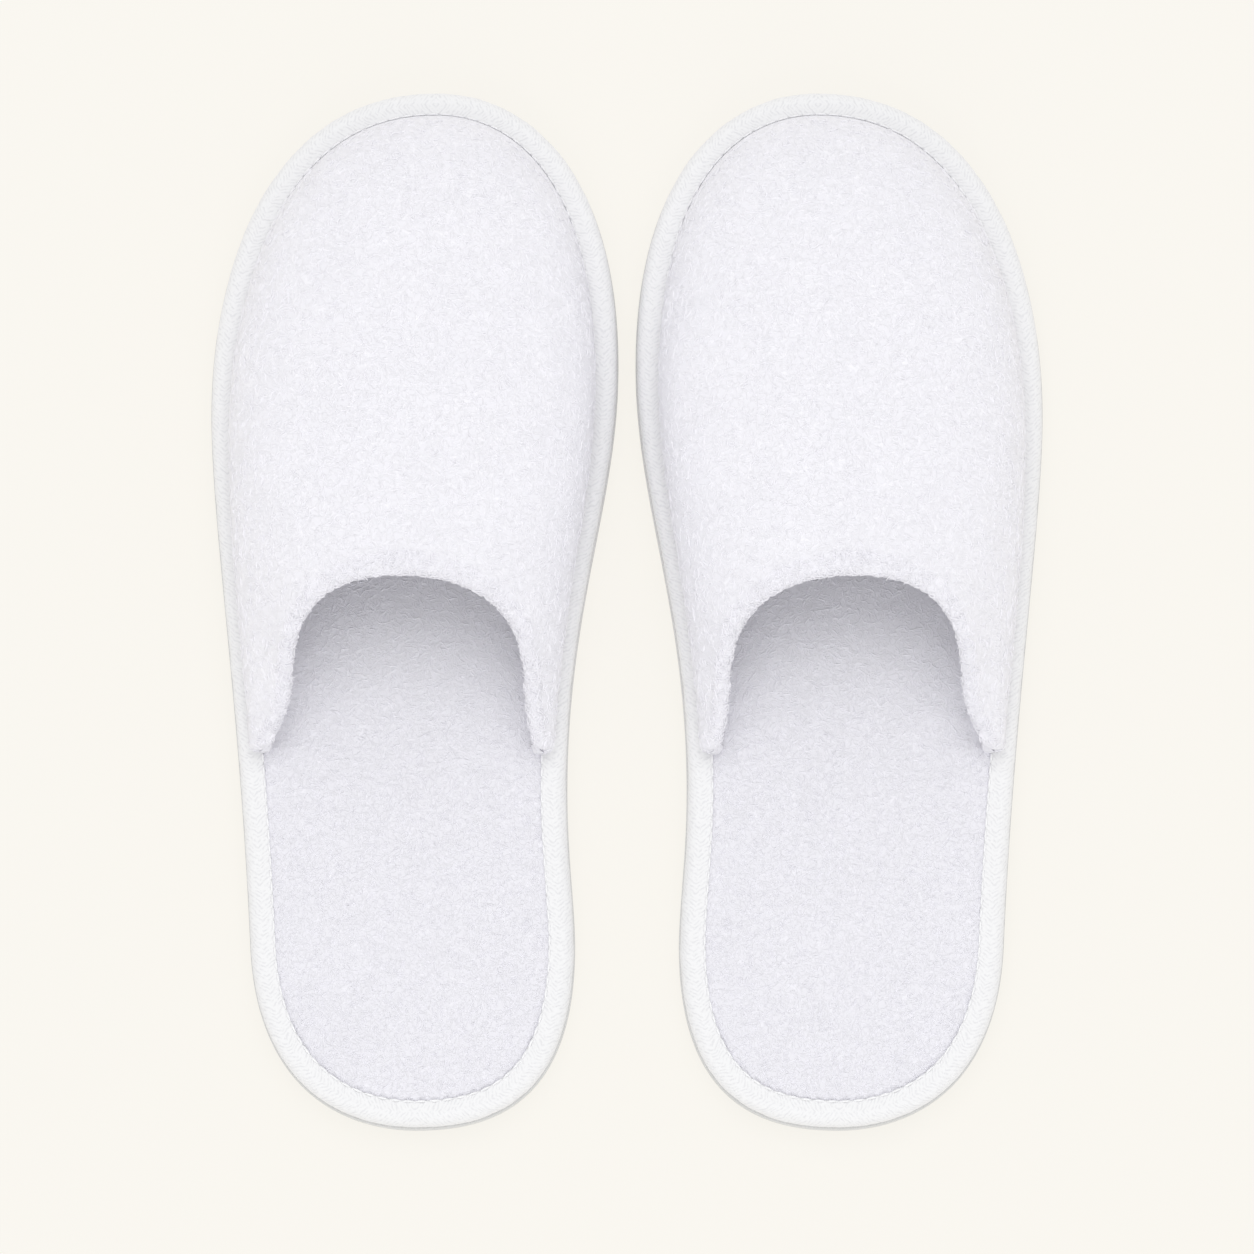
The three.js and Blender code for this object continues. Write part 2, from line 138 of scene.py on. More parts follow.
def bezier(points, t):
    """Points on a cubic curve, for t from 0 to 1."""
    p0, p1, p2, p3 = (np.asarray(p, float) for p in points)
    t = np.asarray(t, float)[..., None]
    return (1 - t) ** 3 * p0 + 3 * (1 - t) ** 2 * t * p1 + 3 * (1 - t) * t * t * p2 + t ** 3 * p3


def chain(curves):
    """A dense line along several curves, and its running length."""
    parts = [bezier(c, np.linspace(0, 1, CURVE_STEPS, endpoint=False)) for c in curves]
    line = np.vstack(parts + [np.asarray(curves[-1][3], float)[None]])
    run = np.concatenate([[0], np.cumsum(np.linalg.norm(np.diff(line, axis=0), axis=1))])
    return line, run


def along(line, run, where):
    """Points at shares 0 to 1 of a line's length."""
    where = np.asarray(where, float) * run[-1]
    return np.stack([np.interp(where, run, line[:, k]) for k in range(line.shape[1])], axis=-1)


def sole_curves():
    """The left sole's outline: heel, lateral side, toe and back down the medial side."""
    side = BALL_LATERAL_Y - HEEL_SIDE_Y
    arch = BALL_MEDIAL_Y - WAIST_Y
    quarter = WAIST_Y - HEEL_SIDE_Y
    lean = LATERAL_FLARE
    heel, toe = (HEEL_APEX_X, HEEL_Y), (TOE_APEX_X, TOE_Y)
    heel_side, ball_side = (-HEEL_HALF, HEEL_SIDE_Y), (-BALL_HALF, BALL_LATERAL_Y)
    ball, waist = (BALL_HALF, BALL_MEDIAL_Y), (WAIST_MEDIAL, WAIST_Y)
    heel_inside = (HEEL_HALF, HEEL_SIDE_Y)
    return [
        [heel, (HEEL_APEX_X - HEEL_END_ROUND[0], HEEL_Y),
         (-HEEL_HALF + HEEL_SIDE_ROUND[0] * lean, HEEL_SIDE_Y - HEEL_SIDE_ROUND[0]), heel_side],
        [heel_side, (-HEEL_HALF - SIDE_HANDLES[0] * side * lean, HEEL_SIDE_Y + SIDE_HANDLES[0] * side),
         (-BALL_HALF, BALL_LATERAL_Y - SIDE_HANDLES[1] * side), ball_side],
        [ball_side, (-BALL_HALF, BALL_LATERAL_Y + BALL_ROUND[0]),
         (TOE_APEX_X - TOE_END_ROUND[0], TOE_Y), toe],
        [toe, (TOE_APEX_X + TOE_END_ROUND[1], TOE_Y), (BALL_HALF, BALL_MEDIAL_Y + BALL_ROUND[1]), ball],
        [ball, (BALL_HALF, BALL_MEDIAL_Y - ARCH_HANDLES[0] * arch),
         (WAIST_MEDIAL, WAIST_Y + ARCH_HANDLES[1] * arch), waist],
        [waist, (WAIST_MEDIAL, WAIST_Y - QUARTER_HANDLES[0] * quarter),
         (HEEL_HALF, HEEL_SIDE_Y + QUARTER_HANDLES[1] * quarter), heel_inside],
        [heel_inside, (HEEL_HALF, HEEL_SIDE_Y - HEEL_SIDE_ROUND[1]),
         (HEEL_APEX_X + HEEL_END_ROUND[1], HEEL_Y), heel],
    ]


SOLE_LINE, SOLE_RUN = chain(sole_curves())
TOE_PLACE = SOLE_RUN[3 * CURVE_STEPS] / SOLE_RUN[-1]


def sole_points(places, inset):
    """The sole's outline at places 0 to 1 round it, moved inwards by inset."""
    places = np.asarray(places, float) % 1
    step = 0.0005
    here = along(SOLE_LINE, SOLE_RUN, places)
    ahead = along(SOLE_LINE, SOLE_RUN, (places + step) % 1)
    behind = along(SOLE_LINE, SOLE_RUN, (places - step) % 1)
    way = ahead - behind
    way /= np.linalg.norm(way, axis=-1, keepdims=True)
    inward = np.stack([way[..., 1], -way[..., 0]], axis=-1)
    return here + inward * np.asarray(inset, float)[..., None]


def place_where(y, low, high):
    """Where round the sole the outline reaches y."""
    places = np.linspace(low, high, 4000)
    heights = along(SOLE_LINE, SOLE_RUN, places)[:, 1]
    return places[np.argmin(np.abs(heights - y))]


LATERAL_WING = place_where(WING_Y, 0.01, TOE_PLACE)
MEDIAL_WING = place_where(WING_Y, TOE_PLACE, 0.99)


def rim_places(t):
    """Places round the sole for t from 0, the lateral wing's end, over the toe, to 1, the medial one's."""
    return np.interp(t, [0, 0.5, 1], [LATERAL_WING, TOE_PLACE, MEDIAL_WING])


# ---- The upper's surface ----

def throat_line():
    """The mouth's edge, from the lateral wing's end over the instep to the medial one's, and its length."""
    apex = np.array([MOUTH_X, THROAT_Y, THROAT_Z])
    curves = []
    for side, place in ((-1, LATERAL_WING), (1, MEDIAL_WING)):
        tip = sole_points(place, UPPER_RIM + WING_INSET)
        end = np.array([tip[0], tip[1], SEAM_Z + SEAM_RISE + WING_RISE])
        shoulder_x = MOUTH_X + MOUTH_SKEW + side * MOUTH_HALF
        shoulder = np.array([shoulder_x, THROAT_Y - SHOULDER_BACK, THROAT_Z - SHOULDER_DROP])
        downhill = np.array([0, -1, -SHOULDER_SLOPE])
        pair = [
            [end, end + WING_HANDLE_SHARE * (shoulder - end),
             shoulder + SHOULDER_HANDLE_BACK * downhill, shoulder],
            [shoulder, shoulder - SHOULDER_HANDLE_AHEAD * downhill,
             apex + np.array([side * MOUTH_TOP_HANDLE, 0, -1]), apex],
        ]
        if side < 0:
            curves += pair
        else:
            curves += [c[::-1] for c in pair[::-1]]
    return chain(curves)


THROAT = throat_line()

# How far the puffed upper leans out over the tape, from a wing's end (0) to the toe (1)
BULGE_AT = (0.0, 0.12, 0.3, 0.5, 0.7, 0.85, 1.0)
BULGE = (8.0, 9.6, 9.2, 6.0, 0.6, -3.4, -5.4)


def upper_ribs(t):
    """The four control points of each rib of the upper, at every t."""
    t = np.asarray(t, float)
    from_end = 1 - np.abs(1 - 2 * t)
    eased = 0.35 * from_end + 0.65 * (1 - (1 - from_end) ** 3)
    top = along(*THROAT, np.where(t <= 0.5, eased / 2, 1 - eased / 2))
    places = rim_places(t)
    seam = sole_points(places, np.full_like(t, UPPER_RIM))
    outer = sole_points(places, UPPER_RIM - np.interp(from_end, BULGE_AT, BULGE))
    foot_z = SEAM_Z + SEAM_RISE
    foot = np.column_stack([seam, np.full_like(t, foot_z)])
    reach = foot[:, :2] - top[:, :2]
    length = np.linalg.norm(reach, axis=1)
    first = np.column_stack([outer, foot_z + 0.57 * (top[:, 2] - foot_z)])
    second = np.column_stack([top[:, :2] + 0.5 * reach, top[:, 2] - 3 - 0.045 * length])
    return foot, first, second, top


def upper_surface(t, rows, cut=0.0):
    """Points on the upper's outer face, evenly spaced up each rib, ending cut short of the throat."""
    ribs = np.stack(upper_ribs(t), axis=1)
    fine = np.linspace(0, 1, 81)
    w = np.stack([(1 - fine) ** 3, 3 * (1 - fine) ** 2 * fine, 3 * (1 - fine) * fine ** 2, fine ** 3])
    lines = np.einsum("kf,tkc->tfc", w, ribs)
    runs = rib_runs(lines)
    out = np.empty((len(t), rows, 3))
    for i in range(len(t)):
        wanted = np.linspace(0, runs[i, -1] - cut, rows)
        for k in range(3):
            out[i, :, k] = np.interp(wanted, runs[i], lines[i, :, k])
    return out


def rib_runs(grid):
    """The running length up each rib of a grid."""
    steps = np.linalg.norm(np.diff(grid, axis=1), axis=2)
    return np.concatenate([np.zeros((len(grid), 1)), np.cumsum(steps, axis=1)], axis=1)


def on_rib(outer, normal, run, i, distance):
    """The point and the unit normal at a distance, or at each of several, up rib i."""
    place = np.stack([np.interp(distance, run[i], outer[i, :, k]) for k in range(3)], axis=-1)
    facing = np.stack([np.interp(distance, run[i], normal[i, :, k]) for k in range(3)], axis=-1)
    return place, facing / np.linalg.norm(facing, axis=-1, keepdims=True)


def grid_normals(grid):
    """Unit normals of a grid of points, outwards for the upper's grids."""
    up = np.gradient(grid, axis=1)
    way = np.gradient(grid, axis=0)
    normal = np.cross(up, way)
    return normal / np.maximum(np.linalg.norm(normal, axis=2, keepdims=True), 1e-9)


def resample(grid, where, axis):
    """The grid at chosen places along an axis, or at an even number of them, through smooth curves."""
    grid = np.moveaxis(grid, axis, 0)
    n = len(grid)
    if np.isscalar(where):
        where = np.linspace(0, n - 1, where)
    i = np.minimum(where.astype(int), n - 2)
    f = (where - i)[:, None, None]
    ghost = np.concatenate([2 * grid[:1] - grid[1:2], grid, 2 * grid[-1:] - grid[-2:-1]])
    a, b, c, d = ghost[i], ghost[i + 1], ghost[i + 2], ghost[i + 3]
    out = b + 0.5 * f * (c - a + f * (2 * a - 5 * b + 4 * c - d + f * (3 * (b - c) + d - a)))
    return np.moveaxis(out, 0, axis)


# ---- Meshes ----

def grid_faces(rows, columns, start=0, wrap_rows=False, wrap_columns=False):
    """Four-sided faces over a grid of points, closed round either way if it wraps."""
    i = np.arange(rows if wrap_rows else rows - 1)[:, None]
    j = np.arange(columns if wrap_columns else columns - 1)[None]
    k, m = (i + 1) % rows, (j + 1) % columns
    quads = np.stack([i * columns + j, k * columns + j, k * columns + m, i * columns + m], axis=-1)
    return quads.reshape(-1, 4) + start


def build_mesh(name, points, faces, smooth=True):
    """A mesh from points in metres and a list of face arrays, each with its own number of corners."""
    mesh = bpy.data.meshes.new(name)
    corners = np.concatenate([np.asarray(f, np.int32).ravel() for f in faces])
    sizes = np.concatenate([np.full(len(f), np.asarray(f).shape[1], np.int32) for f in faces])
    mesh.vertices.add(len(points))
    mesh.vertices.foreach_set("co", np.asarray(points, np.float32).ravel())
    mesh.loops.add(len(corners))
    mesh.loops.foreach_set("vertex_index", corners)
    mesh.polygons.add(len(sizes))
    mesh.polygons.foreach_set("loop_start", np.concatenate([[0], np.cumsum(sizes)[:-1]]).astype(np.int32))
    mesh.polygons.foreach_set("use_smooth", np.full(len(sizes), smooth))
    mesh.update(calc_edges=True)
    mesh.validate()
    return mesh


def new_object(name, mesh):
    """An object for a mesh, at the origin and in the scene."""
    obj = bpy.data.objects.new(name, mesh)
    bpy.context.scene.collection.objects.link(obj)
    return obj


def in_place(points, side):
    """Millimetres about the left slipper's centre line, as metres in the row frame on a side."""
    placed = np.array(points, float)
    placed[:, 0] += CENTRE_X
    if side == "right":
        placed[:, 0] *= -1
    return placed * MM


def both(name, points, faces, material, replaced=(), uv=None, map_name="cloth", smooth=True):
    """A left piece and its mirror image. Each rides on its own slipper and replaces its own CAD nodes."""
    made = []
    for side in SIDES:
        turned = faces if side == "left" else [np.asarray(f)[:, ::-1] for f in faces]
        mesh = build_mesh(f"{side}_{name}", in_place(points, side), turned, smooth)
        if uv is not None:
            layer = mesh.uv_layers.new(name=map_name)
            flat = [c if side == "left" else c[:, ::-1] for c in uv]
            layer.data.foreach_set("uv", np.concatenate([c.ravel() for c in flat]).astype(np.float32))
        obj = new_object(f"{side}_{name}", mesh)
        obj.data.materials.append(material)
        settle(obj, side, replaced)
        made.append(obj)
    return made


def settle(obj, side, replaced=()):
    """Says which slipper a piece rides on and the CAD nodes it stands for."""
    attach(obj, f"{side}_slipper")
    if replaced:
        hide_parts(*(f"{side}_{node}" for node in replaced))


# ---- Cloth simulation ----

SWELL_FRAMES = 20


def puff(grid, held, pressure, cap):
    """Lets a grid of cloth swell under pressure while the held points stay. Returns the new grid."""
    rows, columns = grid.shape[:2]
    mesh = build_mesh("puff", grid.reshape(-1, 3) * MM, [grid_faces(rows, columns)[:, ::-1]])
    obj = new_object("puff", mesh)
    group = obj.vertex_groups.new(name="held")
    group.add([int(i) for i in np.flatnonzero(held.ravel())], 1.0, "REPLACE")
    cloth = obj.modifiers.new("cloth", "CLOTH")
    settings = cloth.settings
    settings.quality = 6
    settings.mass = 0.05
    settings.tension_stiffness = 8
    settings.compression_stiffness = 8
    settings.shear_stiffness = 4
    settings.bending_stiffness = 0.4
    settings.air_damping = 2
    settings.use_pressure = True
    settings.uniform_pressure_force = pressure
    settings.vertex_group_mass = "held"
    settings.effector_weights.gravity = 0
    cloth.point_cache.frame_start = 1
    cloth.point_cache.frame_end = SWELL_FRAMES
    scene = bpy.context.scene
    for step in range(1, SWELL_FRAMES + 1):
        scene.frame_set(step)
    shown = obj.evaluated_get(bpy.context.evaluated_depsgraph_get())
    flat = np.empty(rows * columns * 3, np.float32)
    shown.data.vertices.foreach_get("co", flat)
    moved = flat.reshape(rows, columns, 3) / MM - grid
    scene.frame_set(1)
    bpy.data.objects.remove(obj)
    bpy.data.meshes.remove(mesh)
    far = np.linalg.norm(moved, axis=2, keepdims=True)
    print("puffed by up to", round(float(far.max()), 2), "mm, mean", round(float(far.mean()), 2))
    return grid + moved * np.minimum(1, cap / np.maximum(far, 1e-6))


def roughness_field(points, size, seed):
    """Soft random heights from -1 to 1 at each point, with lumps of a size in millimetres."""
    shift = Vector((seed * 17.3, seed * 5.1, seed * 29.7))
    heights = [noise.noise(Vector(p) / size + shift) for p in points.reshape(-1, 3)]
    return np.array(heights).reshape(points.shape[:-1])


# ---- Pile loops ----

def pile_loops(grid, normals, count, seed, radius, height=0.4, weight=None):
    """Short curled yarn ends that lie on a surface, as thin three-sided tubes. Returns points and faces."""
    rng = np.random.default_rng(seed)
    a, b, c, d = grid[:-1, :-1], grid[1:, :-1], grid[1:, 1:], grid[:-1, 1:]
    area = np.linalg.norm(np.cross(c - a, d - b), axis=2) / 2
    if weight is not None:
        area = area * weight
    share = np.cumsum(area.ravel())
    pick = np.searchsorted(share, rng.random(count) * share[-1])
    i, j = np.unravel_index(np.minimum(pick, area.size - 1), area.shape)
    u, v = rng.random((2, count, 1))
    spot = (a[i, j] * (1 - u) + b[i, j] * u) * (1 - v) + (d[i, j] * (1 - u) + c[i, j] * u) * v
    normal = normals[i, j]
    side = np.cross(normal, rng.normal(size=(count, 3)))
    side /= np.linalg.norm(side, axis=1, keepdims=True)
    front = np.cross(normal, side)
    length = rng.uniform(1.4, 3.6, count)
    turn = rng.uniform(0.2, 2.6, count) * rng.choice([-1, 1], count)
    steps = 5
    x = np.zeros((count, steps))
    y = np.zeros((count, steps))
    for k in range(1, steps):
        heading = turn * ((k - 0.5) / (steps - 1) - 0.5)
        x[:, k] = x[:, k - 1] + length / (steps - 1) * np.cos(heading)
        y[:, k] = y[:, k - 1] + length / (steps - 1) * np.sin(heading)
    x -= x.mean(axis=1, keepdims=True)
    y -= y.mean(axis=1, keepdims=True)
    arch = np.sin(np.linspace(0, math.pi, steps))[None] * rng.uniform(0.0, 0.14, (count, 1))
    lift = arch * height / 0.4 - 0.01
    line = (spot[:, None] + front[:, None] * x[..., None] + side[:, None] * y[..., None]
            + normal[:, None] * lift[..., None])
    way = np.gradient(line, axis=1)
    way /= np.linalg.norm(way, axis=2, keepdims=True)
    across = np.cross(way, normal[:, None])
    across /= np.linalg.norm(across, axis=2, keepdims=True)
    above = np.cross(across, way)
    taper = np.array([0.3, 1, 1.15, 1, 0.3])[None, :, None, None] * radius
    ring = (across[:, :, None] * np.array([0, -1, 1])[None, None, :, None]
            + above[:, :, None] * np.array([height, -0.4, -0.4])[None, None, :, None])
    points = (line[:, :, None] + ring * taper).reshape(-1, 3)
    tube = grid_faces(steps, 3, wrap_columns=True)
    ends = np.array([[2, 1, 0], [steps * 3 - 3, steps * 3 - 2, steps * 3 - 1]])
    base = (np.arange(count) * steps * 3)[:, None, None]
    return points, [(tube[None, :, ::-1] + base).reshape(-1, 4), (ends[None, :, ::-1] + base).reshape(-1, 3)]


def pile_map(count, steps=5):
    """A map for pile loops with a small cell for each loop, its tube unrolled and its two ends beside it."""
    across = math.ceil(math.sqrt(count))
    k, m = np.meshgrid(np.arange(steps - 1), np.arange(3), indexing="ij")
    u = 0.15 + 0.7 * np.stack([k, k + 1, k + 1, k], axis=-1) / (steps - 1)
    v = 0.06 + 0.88 * np.stack([m, m, m + 1, m + 1], axis=-1) / 3
    tube = np.stack([u, v], axis=-1).reshape(-1, 4, 2)[:, ::-1]
    ends = np.array([[(0.1, 0.1), (0.1, 0.9), (0.03, 0.5)], [(0.9, 0.1), (0.97, 0.5), (0.9, 0.9)]])
    n = np.arange(count)
    cell = np.stack([n % across, n // across], axis=-1)[:, None, None]
    quads = ((tube[None] + cell) / across).reshape(-1, 4, 2)
    return [quads, ((ends[None] + cell) / across).reshape(-1, 3, 2)]


# ---- Materials ----

def linear(hex_code):
    """An sRGB hex colour as linear red, green, blue and alpha."""
    parts = [int(hex_code[i:i + 2], 16) / 255 for i in (1, 3, 5)]
    return tuple(c / 12.92 if c <= 0.04045 else ((c + 0.055) / 1.055) ** 2.4 for c in parts) + (1.0,)


def add_node(tree, kind, settings=None, **inputs):
    """Adds a node. An input is a value or an output to link, named with _ for a space or _ and its number."""
    node = tree.nodes.new(kind)
    for key, value in (settings or {}).items():
        setattr(node, key, value)
    for key, value in inputs.items():
        numbered = key[0] == "_" and key[1:].isdigit()
        socket = node.inputs[int(key[1:]) if numbered else key.replace("_", " ")]
        if isinstance(value, bpy.types.NodeSocket):
            tree.links.new(value, socket)
        else:
            socket.default_value = value
    return node


def new_material(name, roughness, sheen=0.0):
    """A plain material with a low gloss and, for cloth, the soft rim of light that loose fibres give."""
    material = bpy.data.materials.new(name)
    material.use_nodes = True
    shader = material.node_tree.nodes["Principled BSDF"]
    shader.inputs["Roughness"].default_value = roughness
    shader.inputs["Specular IOR Level"].default_value = 0.25
    if sheen:
        shader.inputs["Sheen Weight"].default_value = sheen
        shader.inputs["Sheen Roughness"].default_value = 0.6
        shader.inputs["Sheen Tint"].default_value = linear("#FFFFFF")
    return material, material.node_tree, shader


def yarn_ridges(tree, where, size_mm, sharpness):
    """Curly ridges at a real spacing: the level lines of a noise, like yarn lying on cloth."""
    scaled = add_node(tree, "ShaderNodeTexNoise", {"noise_dimensions": "3D"}, Vector=where,
                      Scale=1000 / size_mm, Detail=1.0, Roughness=0.5, Distortion=0.6)
    centred = add_node(tree, "ShaderNodeMath", {"operation": "SUBTRACT"}, _0=scaled.outputs[0], _1=0.5)
    folded = add_node(tree, "ShaderNodeMath", {"operation": "ABSOLUTE"}, _0=centred.outputs[0])
    return add_node(tree, "ShaderNodeMapRange", {"interpolation_type": "SMOOTHSTEP"}, Value=folded.outputs[0],
                    From_Min=0.0, From_Max=sharpness, To_Min=1.0, To_Max=0.0).outputs[0]


def terry(name, loop_mm, shade, light):
    """Cotton terry: matte looped yarn that scatters all light. The colour is painted brighter along the
    yarn's crests and greyer between them and in small pits: painted highlight and painted shade.
    """
    material, tree, shader = new_material(name, roughness=0.95, sheen=0.35)
    where = add_node(tree, "ShaderNodeTexCoord").outputs["Object"]
    wide = yarn_ridges(tree, where, loop_mm * 1.9, 0.035)
    fine = yarn_ridges(tree, where, loop_mm * 1.1, 0.05)
    crests = add_node(tree, "ShaderNodeMath", {"operation": "MAXIMUM"}, _0=wide, _1=fine)
    # Soft clouds 14 mm wide, where the loops have been pressed one way or another
    cloudy = add_node(tree, "ShaderNodeTexNoise", {}, Vector=where, Scale=1000 / 14, Detail=3.0)
    mixed = add_node(tree, "ShaderNodeMapRange", {}, Value=cloudy.outputs[0], From_Min=0.3, From_Max=0.7,
                     To_Min=0.22, To_Max=0.42)
    # Painted highlight: the crests push the colour towards the light end.
    factor = add_node(tree, "ShaderNodeMath", {"operation": "MULTIPLY_ADD"}, _0=crests.outputs[0], _1=0.5,
                      _2=mixed.outputs[0])
    # Painted shade: small dark pits between the loops.
    cells = add_node(tree, "ShaderNodeTexVoronoi", {}, Vector=where, Scale=1000 / (loop_mm * 1.2))
    painted_pit_shade = add_node(tree, "ShaderNodeMapRange", {"interpolation_type": "SMOOTHSTEP"}, Value=cells.outputs[0],
                    From_Min=0.08, From_Max=0.2, To_Min=0.0, To_Max=1.0)
    held = add_node(tree, "ShaderNodeMath", {"operation": "MULTIPLY"}, _0=factor.outputs[0],
                    _1=painted_pit_shade.outputs[0])
    colour = add_node(tree, "ShaderNodeMix", {"data_type": "RGBA"}, _0=held.outputs[0])
    for socket, code in ((colour.inputs[6], shade), (colour.inputs[7], light)):
        socket.default_value = linear(code)
    tree.links.new(colour.outputs[2], shader.inputs["Base Color"])
    bump = add_node(tree, "ShaderNodeBump", {}, Strength=0.6, Distance=0.18 * MM, Height=crests.outputs[0])
    tree.links.new(bump.outputs[0], shader.inputs["Normal"])
    return material


def twill_tape(name):
    """Herringbone cotton tape: slanted ribs that change their slant in bands along the tape."""
    material, tree, shader = new_material(name, roughness=0.8, sheen=0.2)
    uv = add_node(tree, "ShaderNodeUVMap", {"uv_map": "cloth"}).outputs[0]
    split = add_node(tree, "ShaderNodeSeparateXYZ", {}, Vector=uv)
    # The map is in millimetres. Real ribs are finer, and these are drawn 1.3 mm apart so that they show.
    rib_mm = 1.3
    spine = add_node(tree, "ShaderNodeMath", {"operation": "ABSOLUTE"}, _0=split.outputs[1])
    slant = add_node(tree, "ShaderNodeMath", {"operation": "MULTIPLY_ADD"}, _0=spine.outputs[0], _1=0.8,
                     _2=split.outputs[0])
    wobble = add_node(tree, "ShaderNodeTexNoise", {}, Vector=uv, Scale=0.3, Detail=3.0)
    bent = add_node(tree, "ShaderNodeMath", {"operation": "MULTIPLY_ADD"}, _0=wobble.outputs[0], _1=3.2,
                    _2=slant.outputs[0])
    turns = add_node(tree, "ShaderNodeMath", {"operation": "MULTIPLY"}, _0=bent.outputs[0],
                     _1=2 * math.pi / rib_mm)
    wave = add_node(tree, "ShaderNodeMath", {"operation": "SINE"}, _0=turns.outputs[0])
    ribs = add_node(tree, "ShaderNodeMapRange", {}, Value=wave.outputs[0], From_Min=-1.0, From_Max=0.2)
    worn = add_node(tree, "ShaderNodeTexNoise", {}, Vector=uv, Scale=0.7, Detail=2.0)
    faded = add_node(tree, "ShaderNodeMapRange", {}, Value=worn.outputs[0], From_Min=0.4, From_Max=0.6)
    shown = add_node(tree, "ShaderNodeMath", {"operation": "MAXIMUM"}, _0=ribs.outputs[0],
                     _1=faded.outputs[0])
    colour = add_node(tree, "ShaderNodeMix", {"data_type": "RGBA"}, _0=shown.outputs[0])
    colour.inputs[6].default_value = linear("#E3E3E5")
    colour.inputs[7].default_value = linear("#EFEFF0")
    tree.links.new(colour.outputs[2], shader.inputs["Base Color"])
    bump = add_node(tree, "ShaderNodeBump", {}, Strength=0.35, Distance=0.12 * MM, Height=shown.outputs[0])
    tree.links.new(bump.outputs[0], shader.inputs["Normal"])
    return material


def grainy(name, dark, light, grain_mm, roughness, depth_mm, sheen=0.0):
    """A matte material with fine random grain: foam, board, wadding, brushed cloth or spun thread."""
    material, tree, shader = new_material(name, roughness, sheen)
    where = add_node(tree, "ShaderNodeTexCoord").outputs["Object"]
    grain = add_node(tree, "ShaderNodeTexNoise", {}, Vector=where, Scale=1000 / grain_mm, Detail=4.0)
    spread = add_node(tree, "ShaderNodeMapRange", {}, Value=grain.outputs[0], From_Min=0.3, From_Max=0.7)
    colour = add_node(tree, "ShaderNodeMix", {"data_type": "RGBA"}, _0=spread.outputs[0])
    colour.inputs[6].default_value = linear(dark)
    colour.inputs[7].default_value = linear(light)
    tree.links.new(colour.outputs[2], shader.inputs["Base Color"])
    bump = add_node(tree, "ShaderNodeBump", {}, Strength=0.4, Distance=depth_mm * MM,
                    Height=spread.outputs[0])
    tree.links.new(bump.outputs[0], shader.inputs["Normal"])
    return material


# Uncut cotton loops: no gloss at all and a blurred, lit-from-inside white. The loops are drawn about twice
# their real 0.8 mm, so that they show.
upper_cloth = terry("looped cotton terry", 1.6, "#EAE9EF", "#F6F5FA")
# The footbed's terry is lower, with smaller loops, and painted a shade greyer than the upper's: painted shade
# for the lesser light that reaches the footbed.
footbed_cloth = terry("low cotton terry", 1.3, "#E5E4EA", "#F1F0F6")
# Single loops of twisted cotton that stand clear of the cloth, painted lighter than the terry they lie on: a
# painted highlight for the light they catch at their edges. The footbed's loops are painted a shade greyer,
# the same painted shade as its terry.
yarn_upper = grainy("cotton pile yarn", "#F0EFF4", "#F6F5FA", 0.4, 0.95, 0.03, sheen=0.35)
yarn_footbed = grainy("low pile yarn", "#EBEAF0", "#F1F0F6", 0.4, 0.95, 0.03, sheen=0.35)
# Flat woven cotton tape: smoother than the terry and a little warmer, with fine slanted ribs.
tape_cloth = twill_tape("herringbone cotton tape")
# Pressed fibres, felted and dull, seen only as a soft grey inside the mouth.
lining_cloth = grainy("brushed non-woven", "#DAD9DE", "#EEEDF2", 0.6, 0.95, 0.1, sheen=0.2)
# Loose crimped fibres, dull and slightly yellow.
wadding = grainy("polyester wadding", "#DEDCD6", "#F0EEE8", 1.5, 1.0, 0.3)
# Cut open-cell foam: cream, with tiny open pores and no shine.
pad_foam = grainy("open-cell foam", "#D9D3C0", "#EFEAD9", 0.8, 0.95, 0.2)
# Pressed cellulose board: tan, flat and faintly mottled.
fibre_board = grainy("fibre insole board", "#B49C74", "#CDB893", 0.9, 0.9, 0.05)
# Closed-cell foam with the satin skin that a mould leaves.
eva_foam = grainy("moulded EVA foam", "#D2D2D1", "#E0E0DF", 0.5, 0.75, 0.04)
# Tightly spun thread, the brightest and smoothest of the whites.
spun_thread = grainy("spun polyester thread", "#F0F0F2", "#FBFBFC", 0.3, 0.7, 0.05, sheen=0.2)


# ---- Upper pieces ----

def puffed_upper():
    """The upper's outer face, swollen by its wadding between the seam and the hem."""
    t = np.linspace(0, 1, 141)
    grid = upper_surface(t, 45, cut=STACK_THICK / 2)
    held = np.zeros(grid.shape[:2], bool)
    held[:, :2] = True
    # Over the toe the tape's seam holds more of the foot down
    held[24:117, :4] = True
    held[:, -4:] = True
    held[:2] = True
    held[-2:] = True
    return puff(grid, held, pressure=4.0, cap=3.0)


